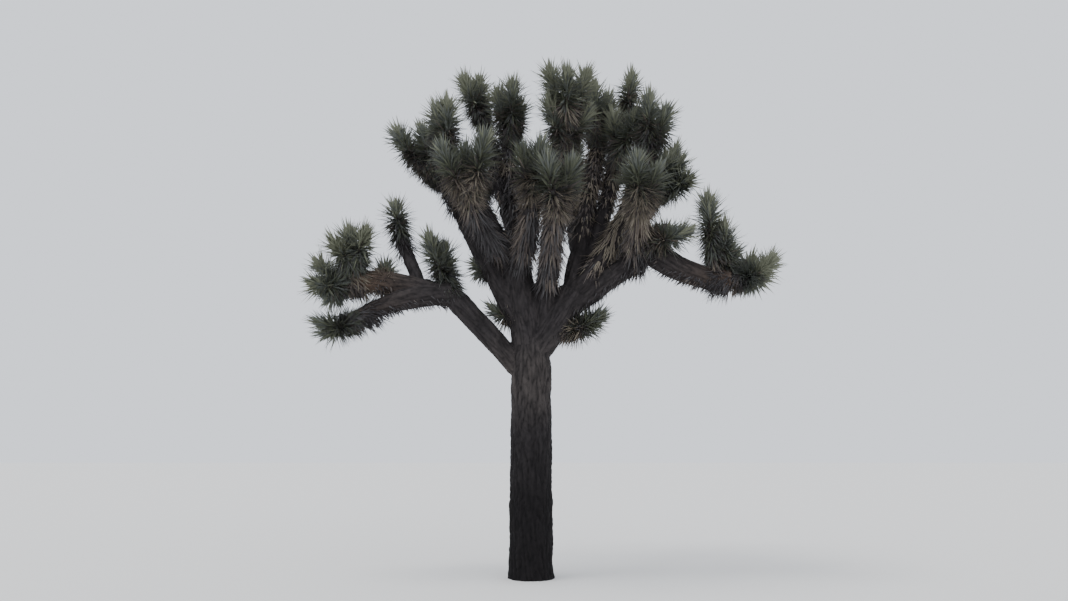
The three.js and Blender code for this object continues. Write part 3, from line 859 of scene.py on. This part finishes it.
def dead_leaves(limb, span, density, chance, highest=DEAD["lift_young"], size=1, limbs=None, number=None):
    """Dead leaves lying back along a limb between two shares of it, hanging down where it is level. The
    short ones grow on its underside only. Where all limbs and the number of this one are given, none
    grows inside another limb."""
    first, last = span
    length = curve_length(limb["curve"]) * (last - first)
    girth = 2 * math.pi * float(radius_at(limb, (first + last) / 2))
    count = round(density * length * girth)
    share = first + (last - first) * (np.arange(count) + chance.uniform(0, 1, count)) / max(count, 1)
    point, axis = on_curve(limb["curve"], share)
    outward = around(axis, chance.uniform(0, 2 * math.pi, count))
    long_sunk, short_sunk = DEAD["sunk"]
    root = point + outward * (radius_at(limb, share) * (long_sunk if size == 1 else short_sunk))[:, None]
    lift = np.radians(chance.uniform(DEAD["lift"], highest, count))
    level = np.linalg.norm(axis[:, :2], axis=1)
    lift *= 1 - DEAD["flat"] * level * np.clip(outward[:, 2], 0, 1)
    way = outward * np.sin(lift)[:, None] - axis * np.cos(lift)[:, None]
    way = way - UP * (DEAD["droop"] * level)[:, None]
    inward = np.minimum((way * outward).sum(axis=1) - np.sin(lift) * DEAD["hug"], 0)
    way = unit(way - outward * inward[:, None])
    face = unit(outward - way * (way * outward).sum(axis=1)[:, None])
    long = DEAD["length"] * size * chance.uniform(*DEAD["lengths"], count)
    width = DEAD["width"] * chance.uniform(*DEAD["widths"], count)
    curl = chance.normal(*DEAD["curl"], count)
    leaves = blades(root, way, face, long, width, curl)
    if limbs is not None:
        owner, *_ = nearest_limb(root + outward * DEAD["clear"], limbs)
        leaves = leaves[(owner == number) & ((size == 1) | (outward[:, 2] < SMOOTH["underside"]))]
    return leaves


def deal(leaves, share, kinds, piles):
    """Deals leaves out to piles by a number from 0 to 1 for each."""
    place = np.clip((share * len(kinds)).astype(int), 0, len(kinds) - 1)
    for number, kind in enumerate(kinds):
        piles[kind].append(leaves[place == number])


def deal_dead(leaves, chance, piles, middle=THATCH["tone"]):
    """Deals dead leaves out in patches, so that one stretch of limb is greyer and the next browner."""
    tone = middle + DEAD["contrast"] * noise_at(leaves[:, 0] / DEAD["patch"])
    deal(leaves, tone + chance.normal(0, DEAD["fade"], len(leaves)), list(THATCHES), piles)


def ruff(curve, place, radius, size, form, chance):
    """A whorl of dead leaves turned down about a place, a share of the curve, and their tones."""
    count = round(form["leaves"] * size)
    height = (np.arange(count) + 0.5) / count
    reach = form["reach"] / curve_length(curve)
    point, axis = on_curve(curve, np.clip(place + (height - RUFF["below"]) * reach, 0, 1))
    turn = np.arange(count) * GOLDEN_ANGLE + chance.normal(0, RUFF["turn"], count)
    outward = around(axis, np.radians(turn))
    tilt = np.interp(height, (0, 1), form["tilt"]) + chance.normal(0, RUFF["tilt"], count)
    way, face = tilted(axis, outward, np.radians(tilt))
    length = GREEN["length"] * chance.uniform(*RUFF["lengths"], count) * slimmed(GREEN["shortest"], size)
    width = DEAD["width"] * chance.uniform(*RUFF["widths"], count)
    curl = chance.normal(*RUFF["curl"], count)
    leaves = blades(point + outward * (radius * form["root"]), way, face, length, width, curl)
    return leaves, 1 - chance.uniform(size=count) ** RUFF["light"]


def shoot_limb(shoot, start):
    """A bare shoot as a limb: its neck up to the start of the leaves, and a thinner stem in them."""
    neck = HEAD["neck"] * TWIG["bare"]
    radii = np.array((neck, neck, *GREEN["stem"])) * shoot["girth"]
    return dict(curve=shoot["curve"], shares=(0, start, start + TWIG["narrowing"], 1), radii=radii)


def grow_masses(plans, chance):
    """Twigs, green leaves and dead ones of every mass: the twigs' shells, and piles of leaves by kind."""
    shells = []
    piles = {kind: [] for kind in [*GREENS, *THATCHES]}
    shares = np.linspace(0, 1, TWIG["steps"])
    for name, plan in plans.items():
        # Light is painted light on the heads of these masses.
        fresh, light = name in FRESH_MASSES, FRESH_MASSES.get(name, 0)
        green_share = FRESH["green"] if fresh else DEAD["green"]
        most_brown = FRESH["brown"] if fresh else BROWNED["share"]
        stem = plan["stem"]
        shells.append(sweep(stem["curve"], shares, radius_at(stem, shares) * TWIG["bare"], TWIG["sides"]))
        deal_dead(dead_leaves(stem, (0, 1), DEAD["density"], chance), chance, piles)
        for shoot in plan["shoots"]:
            start = 1 - shoot["leafy"] / shoot["length"]
            limb = shoot_limb(shoot, start)
            shells.append(sweep(limb["curve"], shares, radius_at(limb, shares), TWIG["sides"]))
            shag = dead_leaves(limb, (0, start), DEAD["density"] * TWIG["shag"], chance)
            green = chance.uniform(size=len(shag)) < green_share
            deal_dead(shag[~green], chance, piles)
            deal(shag[green], chance.uniform(size=green.sum()) + light, KINDS["shoot"], piles)
            radius = HEAD["neck"] * shoot["girth"]
            skirt, tone = ruff(shoot["curve"], start, radius, shoot["girth"], SKIRT, chance)
            _, nearness, rise = shoot["curve"][2]
            pale = nearness < FRONT["nearer"] or rise < FRONT["lower"]
            kind = "fresh" if fresh else "pale" if pale else "grey"
            # Pale skirts get painted light against the shade of the head above.
            deal(skirt, tone + light + SKIRT["light"] * (kind == "pale"), KINDS[kind], piles)
            leaves, tone, brown = head_leaves(shoot, most_brown, chance)
            deal(leaves[~brown], tone[~brown] + light, list(GREENS), piles)
            browned_light = chance.uniform(0, BROWNED["light"], brown.sum())
            deal(leaves[brown], tone[brown] + browned_light, KINDS["brown"], piles)
    return shells, piles


def bough_tiers(limb, bare, middle, chance, piles):
    """Ruffs down a bough, from its tip to where it is bare."""
    length = curve_length(limb["curve"])
    for tier in range(1, int(length * (1 - bare) / TIER["spacing"])):
        place = 1 - tier * TIER["spacing"] * chance.uniform(*TIER["uneven"]) / length
        leaves, _ = ruff(limb["curve"], place, radius_at(limb, place), TIER["size"], TIER, chance)
        deal_dead(leaves, chance, piles, middle - THATCH["foot_shade"] * (1 - place))


def thatch_boughs(limbs, chance, piles):
    """Dead leaves on the boughs: thick towards the tips, none on the old bark."""
    for number, (name, limb) in enumerate(limbs.items()):
        if name in BARE_LIMBS:
            continue
        length = curve_length(limb["curve"])
        bare = max(0, 1 - THATCH["reach"] / length)
        middle = TONES.get(name, THATCH["tone"])
        if name not in SMOOTH_LIMBS:
            bough_tiers(limb, bare, middle, chance, piles)
        for stretch in range(THATCH["stretches"]):
            old, young = stretch / THATCH["stretches"], (stretch + 1) / THATCH["stretches"]
            first, last = bare + (1 - bare) * old, bare + (1 - bare) * young
            smooth = name in SMOOTH_LIMBS and (1 - last) * length > SMOOTH["shaggy_end"]
            density = DEAD["density"] * young * (SMOOTH_LIMBS[name] if smooth else 1)
            highest = DEAD["lift_old"] * (1 - young) + DEAD["lift_young"] * young
            size = SMOOTH["size"] if smooth else 1
            leaves = dead_leaves(limb, (first, last), density, chance, highest, size, limbs, number)
            deal_dead(leaves, chance, piles, middle - THATCH["foot_shade"] * (1 - young))


# Materials.

def new_material(name):
    material = bpy.data.materials.new(name)
    material.use_nodes = True
    nodes = material.node_tree.nodes
    return material, nodes, material.node_tree.links, nodes["Principled BSDF"]


def leaf_material(name, colour):
    """One plain colour, with a gloss that varies."""
    material, nodes, links, shader = new_material(name)
    shader.inputs["Base Color"].default_value = (*colour, 1)
    shader.inputs["Specular IOR Level"].default_value = LEAF_LOOK["specular"]
    place = nodes.new("ShaderNodeTexCoord")
    grain = nodes.new("ShaderNodeTexNoise")
    grain.inputs["Scale"].default_value = LEAF_LOOK["grain"]
    spread = nodes.new("ShaderNodeMapRange")
    lowest, highest = LEAF_LOOK["roughness"]
    spread.inputs["To Min"].default_value = lowest
    spread.inputs["To Max"].default_value = highest
    links.new(place.outputs["Object"], grain.inputs["Vector"])
    links.new(grain.outputs["Fac"], spread.inputs["Value"])
    links.new(spread.outputs["Result"], shader.inputs["Roughness"])
    return material


def mix_colours(nodes, links, share, low, high):
    """A colour between two others, each a socket or a plain colour."""
    mix = nodes.new("ShaderNodeMix")
    mix.data_type = "RGBA"
    links.new(share, mix.inputs["Factor"])
    low_socket, high_socket = (
        next(socket for socket in mix.inputs if socket.name == side and socket.type == "RGBA")
        for side in ("A", "B")
    )
    for socket, value in ((low_socket, low), (high_socket, high)):
        if isinstance(value, bpy.types.NodeSocket):
            links.new(value, socket)
        else:
            socket.default_value = (*value, 1)
    return next(socket for socket in mix.outputs if socket.type == "RGBA")


def bark_material():
    """Dark in the cracks and paler on the plates, browner and lighter on the young limbs."""
    material, nodes, links, shader = new_material("bark")
    relief, young, worn, tan = (nodes.new("ShaderNodeAttribute") for _ in BARK_KINDS)
    for node, kind in zip((relief, young, worn, tan), BARK_KINDS):
        node.attribute_name = kind
    place = nodes.new("ShaderNodeTexCoord")
    stretch = nodes.new("ShaderNodeMapping")
    stretch.inputs["Scale"].default_value = BARK_LOOK["stretch"]
    links.new(place.outputs["Object"], stretch.inputs["Vector"])

    def grain(scale, detail):
        texture = nodes.new("ShaderNodeTexNoise")
        texture.inputs["Scale"].default_value = scale
        texture.inputs["Detail"].default_value = detail
        links.new(stretch.outputs["Vector"], texture.inputs["Vector"])
        return texture.outputs["Fac"]

    def mix(share, low, high):
        return mix_colours(nodes, links, share, low, high)

    # Old bark is darker, partly its own colour and partly painted shade from the crown on the trunk's foot.
    age = young.outputs["Fac"]
    cracks = mix(age, BARK_COLOURS["old_crack"], BARK_COLOURS["young_crack"])
    plates = mix(age, BARK_COLOURS["old_plate"], BARK_COLOURS["young_plate"])
    streaked = mix(age, plates, mix(grain(*BARK_LOOK["streaks"]), plates, BARK_COLOURS["streak"]))
    patchy = nodes.new("ShaderNodeMath")
    patchy.operation = "MULTIPLY"
    links.new(worn.outputs["Fac"], patchy.inputs[0])
    links.new(grain(*BARK_LOOK["patches"]), patchy.inputs[1])
    weathered = mix(patchy.outputs["Value"], streaked, BARK_COLOURS["worn_plate"])
    warm = mix(tan.outputs["Fac"], weathered, BARK_COLOURS["tan"])
    links.new(mix(relief.outputs["Fac"], cracks, warm), shader.inputs["Base Color"])
    bump = nodes.new("ShaderNodeBump")
    strength, depth = BARK_LOOK["bump"]
    bump.inputs["Strength"].default_value = strength
    bump.inputs["Distance"].default_value = depth
    links.new(grain(*BARK_LOOK["grain"]), bump.inputs["Height"])
    links.new(bump.outputs["Normal"], shader.inputs["Normal"])
    shader.inputs["Roughness"].default_value = BARK_LOOK["roughness"]
    shader.inputs["Specular IOR Level"].default_value = BARK_LOOK["specular"]
    return material


# The tree.

limbs = plan_limbs()
plans = {
    name: plan_mass(limbs[mass["parent"]], mass, place + 1)
    for place, (name, mass) in enumerate(MASSES.items())
}
chance = np.random.default_rng(LEAF_SEED)
grow_bark(limbs, bark_material())
shells, piles = grow_masses(plans, chance)
thatch_boughs(limbs, chance, piles)
twig_points, twig_faces = joined(shells)
mesh_object("twigs", twig_points, twig_faces, leaf_material("twig", TWIG["colour"]), MASSES)
lowest, highest = (np.array(corner) for corner in cad_box)
for kind, colour in {**GREENS, **THATCHES}.items():
    leaves = np.concatenate(piles[kind])
    tips = leaves[:, -1]
    leaves = leaves[((tips > lowest - OVERHANG) & (tips < highest + OVERHANG)).all(axis=1)]
    faces = (np.arange(len(leaves))[:, None, None] * BLADE_POINTS + BLADE_FACES).reshape(-1, 3)
    mesh_object(kind, leaves.reshape(-1, 3), faces, leaf_material(kind, colour), MASSES)


# The studio: a pale floor, soft light from high on the left, and the photograph's camera.

floor_mesh = bpy.data.meshes.new("floor")
corners = [(x * FLOOR["half"], y * FLOOR["half"], 0) for x, y in ((-1, -1), (1, -1), (1, 1), (-1, 1))]
floor_mesh.from_pydata(corners, [], [(0, 1, 2, 3)])
floor_material, _, _, floor_shader = new_material("floor")
floor_shader.inputs["Base Color"].default_value = (*FLOOR["colour"], 1)
floor_shader.inputs["Roughness"].default_value = FLOOR["roughness"]
floor_mesh.materials.append(floor_material)
floor = added("floor", floor_mesh)

sky = bpy.data.worlds.new("studio")
sky.use_nodes = True
background = sky.node_tree.nodes["Background"]
background.inputs["Color"].default_value = (*SKY["colour"], 1)
background.inputs["Strength"].default_value = SKY["strength"]
bpy.context.scene.world = sky

for name, light in SUNS.items():
    sun = bpy.data.lights.new(name, "SUN")
    sun.energy = light["energy"]
    sun.angle = math.radians(light["angle"])
    added(name, sun).rotation_euler = [math.radians(turn) for turn in light["turn"]]

lens = bpy.data.cameras.new("camera")
lens.sensor_width = CAMERA["sensor"]
lens.lens = CAMERA["lens"]
lens.clip_end = CAMERA["sight"]
camera = added("camera", lens)
camera.location = CAMERA["place"]
camera.rotation_euler = (math.radians(90 + CAMERA["rise"]), 0, 0)
bpy.context.scene.camera = camera
